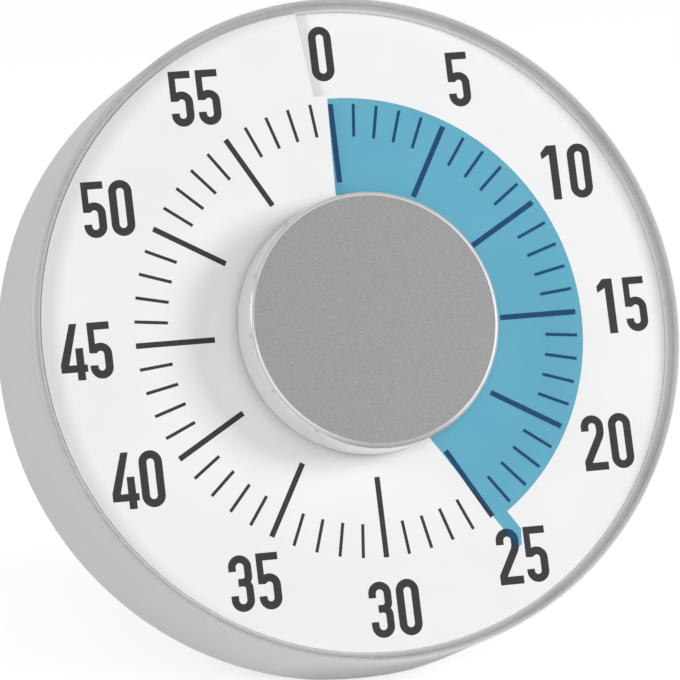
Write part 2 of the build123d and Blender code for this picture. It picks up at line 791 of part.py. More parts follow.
with BuildPart() as spring_barrel:
    disc(centre, barrel_radius, barrel_depth, barrel_height)
    disc(centre, barrel_radius - barrel_wall, barrel_depth, barrel_height - barrel_wall, mode=Mode.SUBTRACT)
    disc(centre, arbor_radius + slip, barrel_depth, barrel_height, mode=Mode.SUBTRACT)

mainspring = spiral_strip(centre, mainspring_inner, mainspring_outer, mainspring_turns,
                          barrel_depth + free_gap + mainspring_height / 2, mainspring_strip,
                          mainspring_height)

# ---- bell and hammer -----------------------------------------------------------------------------------

bell_corner = 0.4 * bell_radius
bell_seat = bell_crown_depth + bell_wall
sound_hole_circle = (bell_post_radius + bell_radius) / 2

with BuildPart() as bell:
    with BuildSketch(section_at(bell_point)):
        with BuildLine():
            Polyline(
                (screw_radius + slip, -bell_crown_depth),
                (bell_radius, -bell_crown_depth),
                (bell_radius, -bell_crown_depth - bell_depth),
                (bell_radius - bell_wall, -bell_crown_depth - bell_depth),
                (bell_radius - bell_wall, -bell_crown_depth - bell_wall),
                (screw_radius + slip, -bell_crown_depth - bell_wall),
                close=True,
            )
        make_face()
        shoulder = vertices().group_by(Axis.X)[-1].sort_by(Axis.Y)[-1]
        fillet(shoulder, radius=bell_corner)
        hollow = vertices().filter_by_position(
            Axis.X, bell_radius - 1.5 * bell_wall, bell_radius - 0.5 * bell_wall
        ).sort_by(Axis.Y)[-1]
        fillet(hollow, radius=bell_corner - bell_wall)
    revolve(axis=axis_at(bell_point))

with BuildPart() as bell_post:
    disc(bell_point, bell_post_radius, bell_seat, cover_front - bell_seat)
    disc(bell_point, screw_radius + slip, bell_seat, screw_length, mode=Mode.SUBTRACT)

with BuildPart() as bell_screw:
    slotted_screw(bell_point, screw_radius, screw_head_radius, bell_crown_depth, screw_head_height,
                  bell_wall + 0.9 * screw_length)

strike_distance = bell_radius + hammer_gap + hammer_head_radius
hammer_head = (hammer_head_side, bell_point[1] - sqrt(strike_distance**2 - hammer_head_side**2))
pivot_reach = hypot(*hammer_point)
tail_reach = pivot_reach - cam_radius - free_gap - hammer_arm_width / 2
hammer_tail = turned(hammer_point, tail_reach, degrees(atan2(-hammer_pivot_v, -hammer_pivot_u)))
hammer_hub_radius = 2 * staff_radius

with BuildPart() as hammer_lever:
    with BuildSketch(level(hammer_level)):
        link(hammer_point, hammer_head, hammer_arm_width)
    extrude(amount=-wheel_thickness)
    disc(hammer_head, hammer_head_radius, hammer_level - wheel_thickness, 3 * wheel_thickness)
    with BuildSketch(level(upper_level)):
        link(hammer_point, hammer_tail, hammer_arm_width)
    extrude(amount=-wheel_thickness)
    disc(hammer_point, hammer_hub_radius, upper_level, hammer_level + wheel_thickness - upper_level)
    disc(hammer_point, staff_radius + slip, upper_level, plate_gap, mode=Mode.SUBTRACT)

with BuildPart() as hammer_pin:
    disc(hammer_point, staff_radius, front_plate_depth, plate_gap + 2 * plate_thickness)

# ---- rear cover ----------------------------------------------------------------------------------------

# the pin sits as far up the back as makes the folded leg, whose foot reaches the table, fit the case
folded_reach = case_inner_radius - recess_gap - recess_wall - recess_margin - pad_lip
pin_middle = dial_origin - dial_normal * (case_depth - leg_pin_inset)
foot_ahead = leg_reach - pin_middle.Y
leg_pivot_height = (foot_ahead**2 + pin_middle.Z**2 - folded_reach**2) / 2 / (
    folded_reach + foot_ahead * lean_sin - pin_middle.Z * lean_cos
)
pin_centre = pin_middle + dial_up * leg_pivot_height
leg_length = folded_reach + leg_pivot_height
leg_run = Vector(0, leg_reach, 0) - pin_centre
leg_opening = radians(lean_angle) + atan2(leg_run.Y, -leg_run.Z)
recess_top = leg_pivot_height + leg_knuckle_radius + 2 * recess_margin
recess_bottom = leg_pivot_height - leg_length - pad_lip - recess_margin


def recess_outline(wall):
    """Tapered outline of the leg's recess, larger by a wall all round, for the sketch that is open."""
    top, bottom = recess_top + wall, recess_bottom - wall
    top_half = leg_top_half_width + recess_margin + wall
    tip_half = leg_tip_half_width + recess_margin + wall
    with BuildSketch(mode=Mode.PRIVATE) as outline:
        with BuildLine():
            Polyline((-top_half, top), (top_half, top), (tip_half, bottom), (-tip_half, bottom), close=True)
        make_face()
        fillet(outline.vertices().group_by(Axis.Y)[0], radius=recess_corner + wall)
    add(outline.sketch)


keyhole_slot_end = (0, keyhole_height + keyhole_slot_length)
magnet_points = [(-magnet_side, magnet_height), (magnet_side, magnet_height),
                 (-magnet_side, -magnet_height), (magnet_side, -magnet_height)]

with BuildPart() as rear_cover:
    disc(centre, cover_radius - cover_fit, cover_front, cover_thickness)
    with BuildSketch(level(recess_front)):
        recess_outline(recess_wall)
        with Locations(*pillar_points):
            Circle(pillar_radius + cover_fit)
    extrude(amount=recess_front - cover_front)
    with BuildSketch(level(movement_back)):
        with Locations(*pillar_points):
            Circle(pillar_radius + cover_fit)
    extrude(amount=movement_back - cover_front)
    with BuildSketch(level(cover_front)):
        with Locations(*magnet_points):
            Circle(magnet_radius + magnet_wall)
    extrude(amount=magnet_thickness + magnet_wall - cover_thickness)
    with BuildSketch(level(recess_floor)):
        recess_outline(0)
    extrude(amount=-recess_depth, mode=Mode.SUBTRACT)
    with BuildSketch(level(case_depth)):
        with Locations(*magnet_points):
            Circle(magnet_radius + seat_gap)
    extrude(amount=magnet_thickness + slip, mode=Mode.SUBTRACT)
    with BuildSketch(level(movement_back)):
        with Locations(*pillar_points):
            Circle(pillar_stud_radius + slip)
    extrude(amount=-pillar_stud_length, mode=Mode.SUBTRACT)
    with BuildSketch(level(case_depth)):
        with Locations((0, keyhole_height)):
            Circle(keyhole_radius)
        link((0, keyhole_height), keyhole_slot_end, keyhole_slot_width)
        with Locations(bell_point):
            with PolarLocations(sound_hole_circle, sound_hole_count):
                Circle(sound_hole_radius)
        with Locations(*boss_points):
            Circle(cover_screw_radius + slip)
    extrude(amount=cover_thickness, mode=Mode.SUBTRACT)
    with BuildSketch(level(case_depth)):
        with Locations(*boss_points):
            Circle(cover_screw_head + seat_gap)
    extrude(amount=cover_screw_seat, mode=Mode.SUBTRACT)
    with BuildSketch(Plane(origin=pin_centre, x_dir=dial_up, z_dir=side)):
        Circle(leg_pin_radius + slip)
    extrude(amount=leg_top_half_width + recess_margin + recess_wall / 2, both=True, mode=Mode.SUBTRACT)

with BuildPart() as cover_screws:
    for point in boss_points:
        slotted_screw(point, cover_screw_radius, cover_screw_head, case_depth - cover_screw_seat,
                      cover_screw_seat - seat_gap, cover_thickness + screw_length, outward=-1)

with BuildPart() as magnets:
    for point in magnet_points:
        disc(point, magnet_radius, case_depth - magnet_thickness, magnet_thickness)

# ---- fold-out leg --------------------------------------------------------------------------------------

leg_down = leg_run.normalized()
leg_plane = Plane(origin=pin_centre, x_dir=side, z_dir=Vector(0, leg_down.Z, -leg_down.Y))
knuckle_plane = Plane(origin=pin_centre, x_dir=dial_up, z_dir=side)
# the leg's short heel above the pin meets the floor of the recess and stops it at its full opening
stop_reach = (
    recess_depth - leg_pin_inset - slip - leg_thickness / 2 * cos(leg_opening)
) / sin(leg_opening)
past_table = 2 * leg_thickness


def leg_body(grow):
    """Tapered bar of the leg, larger by a margin all round, running on below the table."""
    half_tip = leg_tip_half_width + grow
    with BuildSketch(leg_plane.offset(-leg_thickness / 2 - grow)) as profile:
        with BuildLine():
            Polyline(
                (-leg_top_half_width - grow, stop_reach),
                (leg_top_half_width + grow, stop_reach),
                (half_tip, -leg_length),
                (half_tip, -leg_length - past_table),
                (-half_tip, -leg_length - past_table),
                (-half_tip, -leg_length),
                close=True,
            )
        make_face()
    extrude(profile.sketch, amount=leg_thickness + 2 * grow)


with BuildPart() as stand_leg:
    leg_body(0)
    with BuildSketch(knuckle_plane):
        Circle(leg_knuckle_radius)
    extrude(amount=leg_top_half_width, both=True)
    with BuildSketch(knuckle_plane):
        Circle(leg_pin_radius + slip)
    extrude(amount=leg_top_half_width, both=True, mode=Mode.SUBTRACT)
    with BuildSketch(Plane.XY.offset(pad_height)):
        with Locations((0, leg_reach)):
            Rectangle(4 * leg_top_half_width, 2 * leg_reach)
    extrude(amount=-4 * pad_height, mode=Mode.SUBTRACT)

with BuildPart() as foot_pad:
    leg_body(pad_lip)
    with BuildSketch(Plane.XY):
        with Locations((0, leg_reach)):
            Rectangle(4 * leg_top_half_width, 2 * leg_reach)
    extrude(amount=pad_height, mode=Mode.INTERSECT)

with BuildPart() as leg_pin:
    with BuildSketch(knuckle_plane):
        Circle(leg_pin_radius)
    extrude(amount=leg_top_half_width + recess_margin + recess_wall / 2, both=True)

# ---- output --------------------------------------------------------------------------------------------

pieces = {
    "case_shell": case_shell, "bezel_ring": bezel_ring, "dial_plate": dial_plate,
    "film_disc": film_disc, "film_hub": film_hub,
    "knob_cap": knob_cap, "knob_inlay": knob_inlay, "knob_core": knob_core, "arbor": arbor,
    "front_plate": front_plate, "back_plate": back_plate, "movement_pillars": movement_pillars,
    "plate_screws": plate_screws,
    "great_wheel": great_wheel, "clutch_spring": clutch_spring, "clutch_collar": clutch_collar,
    "alarm_cam": alarm_cam, "spring_barrel": spring_barrel, "mainspring": mainspring,
    "second_pinion": second_pinion, "second_wheel": second_wheel,
    "third_pinion": third_pinion, "third_wheel": third_wheel,
    "escape_pinion": escape_pinion, "escape_wheel": escape_wheel,
    "pallet_lever": pallet_lever, "pallet_arbor": pallet_arbor,
    "balance_wheel": balance_wheel, "balance_staff": balance_staff,
    "hairspring": hairspring, "hairspring_stud": hairspring_stud,
    "hammer_lever": hammer_lever, "hammer_pin": hammer_pin,
    "bell": bell, "bell_post": bell_post, "bell_screw": bell_screw,
    "rear_cover": rear_cover, "cover_screws": cover_screws, "magnets": magnets,
    "stand_leg": stand_leg, "foot_pad": foot_pad, "leg_pin": leg_pin,
}

os.makedirs("parts", exist_ok=True)
for name, piece in pieces.items():
    piece.part.label = name
    export_step(piece.part, f"parts/{name}.step")
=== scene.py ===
"""Looks of the wind-up visual timer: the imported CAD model, its finishes, the printed dial and a
studio."""

import json
from math import atan2, ceil, cos, degrees, pi, radians, sin

import bmesh
import bpy
from mathutils import Matrix, Vector
from mathutils.geometry import delaunay_2d_cdt


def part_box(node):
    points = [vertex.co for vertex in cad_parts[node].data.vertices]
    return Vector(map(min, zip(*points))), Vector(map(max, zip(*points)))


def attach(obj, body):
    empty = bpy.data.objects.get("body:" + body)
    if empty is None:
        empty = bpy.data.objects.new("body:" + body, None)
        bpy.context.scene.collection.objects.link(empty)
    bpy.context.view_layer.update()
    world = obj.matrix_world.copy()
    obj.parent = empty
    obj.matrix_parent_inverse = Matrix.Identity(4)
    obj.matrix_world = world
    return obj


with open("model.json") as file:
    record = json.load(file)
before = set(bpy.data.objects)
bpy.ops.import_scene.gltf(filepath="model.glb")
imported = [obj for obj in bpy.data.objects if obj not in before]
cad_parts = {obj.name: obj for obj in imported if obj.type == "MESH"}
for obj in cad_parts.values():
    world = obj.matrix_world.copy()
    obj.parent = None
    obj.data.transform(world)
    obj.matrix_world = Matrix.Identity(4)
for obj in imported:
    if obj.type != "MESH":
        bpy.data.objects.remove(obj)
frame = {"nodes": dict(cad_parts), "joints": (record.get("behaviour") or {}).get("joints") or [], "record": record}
bpy.context.view_layer.update()

# ---- the dial's frame, from the knob's joint ----------------------------------------------------
# u runs to the right, v up along the dial and w out of it, in millimetres from the dial's middle.

MM = 0.001
knob_turn = next(joint for joint in frame["joints"] if joint["name"] == "knob_turn")
dial_origin = Vector(knob_turn["pos_m"])
dial_normal = -Vector(knob_turn["axis"])
side = Vector((1, 0, 0))
dial_up = dial_normal.cross(side)


def spot(u, v, w=0.0):
    """A point of the dial's frame, in millimetres, as a place in the row frame, in metres."""
    return dial_origin + (side * u + dial_up * v + dial_normal * w) * MM


def half_width(node):
    """Half the width of a round node, in millimetres."""
    low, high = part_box(node)
    return (high.x - low.x) / 2 / MM


# ---- sizes and tones ----------------------------------------------------------------------------
# Lengths are in millimetres and angles in degrees; a clock angle runs clockwise from 12 o'clock.
# A reach is the stretch over which a shade or a tone changes, and where the shade has a clock angle
# it is measured that way from the dial's middle.

# the printed dial
minutes = 60
number_step = 5
dial_lead = 2.6             # rise of the dial sheet over one turn
dial_thickness = 1.2
ink_height = 0.03
ink_root = 0.05             # how far the ink reaches into the sheet
tick_margin = 1.4           # from the end of the marks to the edge of the time disc
tick_outer = half_width("film_disc") - tick_margin
minor_tick_inner, minor_tick_width = 55.1, 0.9
major_tick_inner, major_tick_width = 42.0, 1.55
number_radius = 78.7
number_turn = -0.6          # the numbers stand this many degrees past their marks
number_shifts = {           # how far each number was printed off its place, to the right and up
    0: (0.0, 0.4), 5: (0.0, 0.7), 10: (-0.2, 0.4), 15: (0.3, 0.0),
    20: (0.6, 0.8), 25: (-0.4, 0.1), 30: (-0.1, -0.3), 35: (0.1, 0.5),
    40: (-0.7, 3.1), 45: (-0.2, 0.5), 50: (0.5, 0.2), 55: (0.4, 0.6),
}
digit_height = 15.8
digit_stroke = 2.25
arc_steps = 10              # points in a quarter turn of a digit's curve
sharp_angle = 30.0          # edges of added pieces that bend more than this stay sharp

# painted shade on the dial sheet: the shadows of the rim and of the slit's lip
lip_angle = 5.0             # the slit's lip lies this far before 0, and the lower layer shows there
lip_rim = (-7.9, 90.85)     # where the lip's edge meets the rim of the dial, as u and v
lip_normal_angle = 85.0     # clock angle at which one crosses the lip's edge
lip_shade_reach = (3.0, 5.0)        # past the lip's edge; the painted shadow of the lip fades over it
lip_shade = 0.13
rim_shade_angle = 285.0     # the rim's painted shadow is widest at this clock angle
rim_shade_slope = 0.08      # and grows by this share of the distance towards it
rim_shade_reach = (90.2, 95.7)
rim_shade = 0.16

# the knob
lacquer_reach = (16.7, 17.1)        # its edge is lacquered from this height, w, up
lacquer_drop = 0.7                  # painted shade darkens the lacquer at the bottom, where it also starts lower
lacquer_shade_angle = 176.0
lacquer_shade_reach = (28.0, 35.0)
lacquer_shine_angle = 275.0         # and it is rubbed to a shine on the left
lacquer_shine_reach = (33.0, 33.8)
knob_top = 17.5                     # height of the flat of its edge
edge_film_radii = (33.5, 34.72)     # the face's finish runs over the seam onto the edge's flat
edge_film_rise = 0.012
edge_film_root = 0.01
edge_film_steps = 240

# the front rim's painted shade and light, different on the left and right, with dirt in the
# # seam: stops of (radius, tone left, tone right)
rim_radii = (90.0, 95.0)            # all the stops lie between these
bezel_painted_light_tones = (
    (90.9, 1.0, 0.8), (91.2, 0.92, 0.8), (91.5, 0.675, 0.625), (92.0, 0.61, 0.565),
    (92.4, 0.585, 0.54),
)
case_rim_shade_and_dirt_tones = (
    (92.4, 0.70, 0.65), (92.8, 0.68, 0.79), (93.2, 0.73, 0.92), (93.6, 0.81, 1.0),
    (94.0, 0.945, 0.97),
)
rim_left_angle = 280.0
rim_blend = 60.0                    # the tones change over this far on both sides of the middle

# painted shade on the case's underside, where it turns away from the light
underside_angle = 160.0
underside_reach = (76.0, 94.0)
underside_heights = (-12.0, 3.0)    # full below the first height and gone above the second
underside_painted_shade = 0.45

# the part of a noise's range over which a finish spreads its tones; most of any noise lies in the
# first of these
noise_reach = (0.3, 0.7)
sprayed_reach = (0.3, 0.72)
printed_reach = (0.3, 0.75)
stained_reach = (0.35, 0.65)
scratched_reach = (0.62, 0.78)

# the studio: the camera's places are in the dial's frame, and the lens and sensor are in
# millimetres too; clipping, floor and lamps are in metres
camera_place = (-376.8, -174.9, 1233.8)
camera_target = (-5.86, -2.76, 0.6)
camera_roll = -0.543
camera_lens = 246.2
camera_sensor = 36.0
camera_clip = (0.05, 20.0)
floor_radius = 3.0
floor_sides = 96
floor_lift = 0.62                   # added to what is seen of the floor
world_strength = 0.347
lamp_distance = 2.0
lamps = (                           # name, clock angle, height, share of the light, size
    ("front_lamp", 245, 74, 0.205, 0.7),
    ("right_lamp", 82, 45, 0.315, 0.7),
    ("left_lamp", 290, 28, 0.072, 0.5),
)

# ---- building meshes ----------------------------------------------------------------------------


def add_piece(name, points, faces, material, body):
    """A mesh piece from points in the dial's frame, riding on a body."""
    mesh = bpy.data.meshes.new(name)
    mesh.from_pydata([spot(*point) for point in points], [], faces)
    mesh.validate()
    piece = bpy.data.objects.new(name, mesh)
    bpy.context.scene.collection.objects.link(piece)
    shaped = bmesh.new()
    shaped.from_mesh(mesh)
    bmesh.ops.recalc_face_normals(shaped, faces=shaped.faces)
    shaped.to_mesh(mesh)
    shaped.free()
    mesh.shade_smooth()
    mesh.set_sharp_from_angle(angle=radians(sharp_angle))
    mesh.materials.append(material)
    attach(piece, body)


# ---- node helpers -------------------------------------------------------------------------------

mix_share, mix_first, mix_second, mix_result = 0, 6, 7, 2       # sockets of a Mix node for colours


def grey(value):
    return (value, value, value)


class Shader:
    """A material's node tree, with short calls for the nodes that the finishes share. Where a call
    takes a socket or a value, a socket is linked and a value is set."""

    def __init__(self, name):
        self.material = bpy.data.materials.new(name)
        self.material.use_nodes = True
        self.tree = self.material.node_tree
        self.tree.nodes.clear()
        self.output = self.tree.nodes.new("ShaderNodeOutputMaterial")
        self.place = self.tree.nodes.new("ShaderNodeTexCoord").outputs["Object"]

    def node(self, kind, **values):
        """A new node with these properties."""
        made = self.tree.nodes.new(kind)
        for key, value in values.items():
            setattr(made, key, value)
        return made

    def feed(self, socket, value):
        """Links an input to a socket, or sets it to a value."""
        if isinstance(value, bpy.types.NodeSocket):
            self.tree.links.new(value, socket)
        else:
            socket.default_value = value

    def surface(self, **values):
        """A principled surface, with its inputs by name."""
        made = self.node("ShaderNodeBsdfPrincipled")
        for key, value in values.items():
            self.feed(made.inputs[key.replace("_", " ")], value)
        return made.outputs[0]

    def finish(self, surface):
        """Puts a surface on the material."""
        self.feed(self.output.inputs["Surface"], surface)
        return self.material

    def math(self, operation, first, second):
        made = self.node("ShaderNodeMath", operation=operation)
        self.feed(made.inputs[0], first)
        self.feed(made.inputs[1], second)
        return made.outputs[0]

    def vector_math(self, operation, first, **values):
        """A vector node, with its other inputs by name."""
        made = self.node("ShaderNodeVectorMath", operation=operation)
        self.feed(made.inputs[0], first)
        for key, value in values.items():
            self.feed(made.inputs[1 if key == "second" else key], value)
        return made.outputs["Value" if operation in ("DOT_PRODUCT", "LENGTH") else "Vector"]

    def dial_frame(self):
        """Sockets with u, v and w, in millimetres."""
        moved = self.vector_math("SUBTRACT", self.place, second=dial_origin)
        local = self.vector_math("SCALE", moved, Scale=1 / MM)
        return [
            self.vector_math("DOT_PRODUCT", local, second=axis)
            for axis in (side, dial_up, dial_normal)
        ]

    def dial_radius(self, u, v):
        """How far (u, v) lies from the dial's middle."""
        flat = self.node("ShaderNodeCombineXYZ")
        self.feed(flat.inputs[0], u)
        self.feed(flat.inputs[1], v)
        return self.vector_math("LENGTH", flat.outputs[0])

    def along_dial(self, u, v, clock_angle):
        """How far (u, v) lies towards a clock angle."""
        turn = radians(clock_angle)
        return self.math("ADD", self.math("MULTIPLY", u, sin(turn)),
                         self.math("MULTIPLY", v, cos(turn)))

    def noise(self, grain_mm, detail, roughness=0.5, stretch=(1, 1, 1)):
        """Noise whose lumps are about grain_mm across."""
        mapping = self.node("ShaderNodeMapping")
        self.feed(mapping.inputs["Vector"], self.place)
        self.feed(mapping.inputs["Scale"], stretch)
        made = self.node("ShaderNodeTexNoise")
        self.feed(made.inputs["Vector"], mapping.outputs[0])
        self.feed(made.inputs["Scale"], 1 / (grain_mm * MM))
        self.feed(made.inputs["Detail"], detail)
        self.feed(made.inputs["Roughness"], roughness)
        return made.outputs["Fac"]

    def span(self, source, new_low, new_high, reach=noise_reach, smooth=False):
        """A value that goes from new_low to new_high while the source crosses its reach."""
        kind = "SMOOTHSTEP" if smooth else "LINEAR"
        made = self.node("ShaderNodeMapRange", interpolation_type=kind)
        self.feed(made.inputs["Value"], source)
        for key, value in zip(("From Min", "From Max", "To Min", "To Max"),
                              (*reach, new_low, new_high)):
            self.feed(made.inputs[key], value)
        return made.outputs[0]

    def ramp(self, source, low_colour, high_colour, reach=noise_reach):
        """A colour that goes from one to the other while the source crosses its reach."""
        made = self.node("ShaderNodeValToRGB")
        for element, place, colour in zip(made.color_ramp.elements, reach,
                                          (low_colour, high_colour)):
            element.position = place
            element.color = (*colour, 1)
        self.feed(made.inputs["Fac"], source)
        return made.outputs["Color"]

    def steps(self, source, reach, stops):
        """A grey that follows stops of (value of the source, grey), set within a reach."""
        made = self.node("ShaderNodeValToRGB")
        elements = made.color_ramp.elements
        low, high = reach
        for i, (at, value) in enumerate(stops):
            place = (at - low) / (high - low)
            element = elements[i] if i < 2 else elements.new(place)
            element.position = place
            element.color = (*grey(value), 1)
        self.feed(made.inputs["Fac"], self.span(source, 0.0, 1.0, reach))
        return made.outputs["Color"]

    def mix(self, share, first, second, blend="MIX"):
        """Mixes two colours, which are sockets or red, green and blue."""
        made = self.node("ShaderNodeMix", data_type="RGBA", blend_type=blend)
        self.feed(made.inputs[mix_share], share)
        for key, colour in ((mix_first, first), (mix_second, second)):
            linked = isinstance(colour, bpy.types.NodeSocket)
            self.feed(made.inputs[key], colour if linked else (*colour, 1))
        return made.outputs[mix_result]

    def darken(self, colour, share):
        return self.mix(share, colour, grey(0.0))

    def bump(self, source, height_mm, below=None):
        made = self.node("ShaderNodeBump")
        self.feed(made.inputs["Height"], source)
        self.feed(made.inputs["Distance"], height_mm * MM)
        if below:
            self.feed(made.inputs["Normal"], below)
        return made.outputs[0]


# ---- finishes -----------------------------------------------------------------------------------


def silver_paint(name, brightest, rim_shade_and_dirt_tones):
    """Satin silver paint: fine flakes, faint clouding, the soft orange peel of a sprayed coat,
    painted shade and light at the front rim by the rim's tones, different on the left and right,
    with dirt in the seam, and painted shade on the underside."""
    flake_tone, cloud_tone, cloud_share = 0.8 * brightest, 0.74 * brightest, 0.2
    shader = Shader(name)
    flakes = shader.noise(grain_mm=0.28, detail=3)
    clouds = shader.noise(grain_mm=22, detail=3)
    colour = shader.ramp(flakes, grey(flake_tone), grey(brightest), sprayed_reach)
    colour = shader.mix(shader.span(clouds, 0.0, cloud_share), colour, grey(cloud_tone))
    u, v, w = shader.dial_frame()
    radius = shader.dial_radius(u, v)
    # painted shade and light of the front rim, by radius and side, with dirt in the seam
    left_rim_shade = shader.steps(radius, rim_radii, [(at, left) for at, left, _ in rim_shade_and_dirt_tones])
    right_rim_shade = shader.steps(radius, rim_radii, [(at, right) for at, _, right in rim_shade_and_dirt_tones])
    left_shade_share = shader.span(shader.along_dial(u, v, rim_left_angle), 0.0, 1.0,
                           (-rim_blend, rim_blend))
    colour = shader.mix(1.0, colour, shader.mix(left_shade_share, right_rim_shade, left_rim_shade), "MULTIPLY")
    # painted shade on the underside, where the case turns away from the light
    low_side = shader.span(shader.along_dial(u, v, underside_angle), 0.0, underside_painted_shade,
                           underside_reach)
    below = shader.span(w, 1.0, 0.0, underside_heights)
    colour = shader.darken(colour, shader.math("MULTIPLY", low_side, below))
    peel = shader.bump(shader.noise(grain_mm=1.1, detail=2), height_mm=0.008)
    return shader.finish(shader.surface(
        Base_Color=colour,
        Metallic=0.25,
        Specular_IOR_Level=0.4,
        Roughness=shader.span(flakes, 0.36, 0.5),
        Normal=shader.bump(flakes, height_mm=0.004, below=peel),
    ))


def white_sheet():
    """Matt white plastic sheet with a very faint tooth, with painted shade: the rim's shadow, widest
    on the left, and the shadow under the lip of the slit."""
    dull_white, clean_white = (0.85, 0.852, 0.856), (0.88, 0.88, 0.882)
    shader = Shader("white_sheet")
    clouds = shader.noise(grain_mm=30, detail=2)
    tooth = shader.noise(grain_mm=0.35, detail=2)
    colour = shader.ramp(clouds, dull_white, clean_white)
    u, v, w = shader.dial_frame()
    # painted shadow of the front rim, widest on the left
    from_left = shader.math("MULTIPLY", shader.along_dial(u, v, rim_shade_angle), rim_shade_slope)
    rim_shadow_way = shader.math("ADD", shader.dial_radius(u, v), from_left)
    painted_rim_shadow = shader.span(rim_shadow_way, 0.0, rim_shade, rim_shade_reach, smooth=True)
    colour = shader.darken(colour, painted_rim_shadow)
    # painted shadow of the slit's lip on the lower layer
    lip_shadow_way = shader.along_dial(shader.math("SUBTRACT", u, lip_rim[0]),
                                shader.math("SUBTRACT", v, lip_rim[1]), lip_normal_angle)
    painted_lip_shadow = shader.span(lip_shadow_way, lip_shade, 0.0, lip_shade_reach, smooth=True)
    lower_layer = shader.math("LESS_THAN", w, 0.0)
    colour = shader.darken(colour, shader.math("MULTIPLY", painted_lip_shadow, lower_layer))
    return shader.finish(shader.surface(
        Base_Color=colour,
        Specular_IOR_Level=0.35,
        Roughness=shader.span(tooth, 0.48, 0.6),
        Normal=shader.bump(tooth, height_mm=0.003),
    ))


def dial_ink():
    """Screen-printed dark grey ink, slightly uneven."""
    shader = Shader("dial_ink")
    grain = shader.noise(grain_mm=0.5, detail=3)
    return shader.finish(shader.surface(
        Base_Color=shader.ramp(grain, grey(0.024), grey(0.042), printed_reach),
        Specular_IOR_Level=0.2,
        Roughness=shader.span(grain, 0.5, 0.66),
    ))


def blue_film():
    """Translucent blue film: it tints what lies under it and scatters a little blue of its own."""
    deep_tint, pale_tint = (0.408, 0.728, 0.774), (0.448, 0.752, 0.796)
    own_blue, own_share = (0.06, 0.25, 0.72), 0.12
    shader = Shader("blue_film")
    clear = shader.node("ShaderNodeBsdfTransparent")
    clouds = shader.noise(grain_mm=14, detail=3)
    shader.feed(clear.inputs["Color"], shader.mix(clouds, deep_tint, pale_tint))
    own = shader.surface(
        Base_Color=(*own_blue, 1),
        Roughness=0.3,
        Specular_IOR_Level=0.5,
        Normal=shader.bump(shader.noise(grain_mm=3, detail=2), height_mm=0.004),
    )
    both = shader.node("ShaderNodeMixShader")
    for socket, value in zip(both.inputs, (own_share, clear.outputs[0], own)):
        shader.feed(socket, value)
    return shader.finish(both.outputs[0])


def knob_skirt():
    """Plated skirt of the knob with hairline wear. Its top edge has a satin grey lacquer, with
    painted shade that darkens it at the bottom, and rubbed to a shine on the left."""
    shader = Shader("knob_skirt")
    haze = shader.noise(grain_mm=6, detail=4)
    hairs = shader.noise(grain_mm=0.5, detail=3, stretch=(1, 1, 9))
    grain = shader.noise(grain_mm=0.4, detail=3)
    u, v, w = shader.dial_frame()
    # painted shade: a lit and a shaded copy of the lacquer, the shaded one at the bottom
    bottom_shade = shader.span(shader.along_dial(u, v, lacquer_shade_angle), 0.0, 1.0,
                           lacquer_shade_reach, smooth=True)
    drop = shader.math("MULTIPLY", bottom_shade, lacquer_drop)
    lacquered = shader.span(shader.math("ADD", w, drop), 0.0, 1.0, lacquer_reach)
    lit_lacquer = shader.ramp(grain, grey(0.50), grey(0.55), sprayed_reach)
    shaded_lacquer = shader.ramp(grain, grey(0.36), grey(0.42), sprayed_reach)
    lacquer = shader.mix(bottom_shade, lit_lacquer, shaded_lacquer)
    plating = shader.ramp(haze, grey(0.84), grey(0.89))
    plated_metallic, lacquer_metallic = 0.8, 0.42
    shine = shader.span(shader.along_dial(u, v, lacquer_shine_angle), 0.0, 1.0,
                        lacquer_shine_reach)
    shiny_roughness = grey(0.22)
    plated_roughness = shader.span(haze, 0.13, 0.2)
    lacquer_roughness = shader.mix(shine, shader.span(grain, 0.4, 0.46), shiny_roughness)
    return shader.finish(shader.surface(
        Base_Color=shader.mix(lacquered, plating, lacquer),
        Metallic=shader.span(lacquered, plated_metallic, lacquer_metallic, (0.0, 1.0)),
        Roughness=shader.mix(lacquered, plated_roughness, lacquer_roughness),
        Normal=shader.bump(hairs, height_mm=0.0015),
    ))


def knob_face():
    """Satin grey face of the knob: fine sprayed grain with a few faint marks."""
    mark_tone, mark_share = 0.5, 0.3
    shader = Shader("knob_face")
    grain = shader.noise(grain_mm=0.45, detail=4, roughness=0.6)
    marks = shader.noise(grain_mm=2.6, detail=5, roughness=0.7)
    colour = shader.ramp(grain, grey(0.228), grey(0.31), sprayed_reach)
    marked = shader.span(marks, 0.0, mark_share, scratched_reach)
    return shader.finish(shader.surface(
        Base_Color=shader.mix(marked, colour, grey(mark_tone)),
        Metallic=0.3,
        Specular_IOR_Level=0.4,
        Roughness=shader.span(grain, 0.42, 0.56),
        Normal=shader.bump(grain, height_mm=0.008),
    ))


def moulded_plastic(name, colour, height_mm=0.02):
    """Plastic from a spark-eroded mould."""
    shader = Shader(name)
    texture = shader.noise(grain_mm=0.4, detail=3)
    clouds = shader.noise(grain_mm=18, detail=2)
    darker = [0.9 * part for part in colour]
    return shader.finish(shader.surface(
        Base_Color=shader.ramp(clouds, darker, colour),
        Specular_IOR_Level=0.4,
        Roughness=shader.span(texture, 0.5, 0.65),
        Normal=shader.bump(texture, height_mm),
    ))


def metal(name, colour, roughness=(0.25, 0.4), grain_mm=0.3):
    """Drawn or turned metal with fine directional marks and faint staining."""
    shader = Shader(name)
    marks = shader.noise(grain_mm, detail=4, stretch=(1, 6, 1))
    stains = shader.noise(grain_mm=5, detail=3)
    duller = [0.78 * part for part in colour]
    return shader.finish(shader.surface(
        Base_Color=shader.ramp(stains, duller, colour, stained_reach),
        Metallic=1.0,
        Roughness=shader.span(marks, *roughness),
        Normal=shader.bump(marks, height_mm=0.003),
    ))


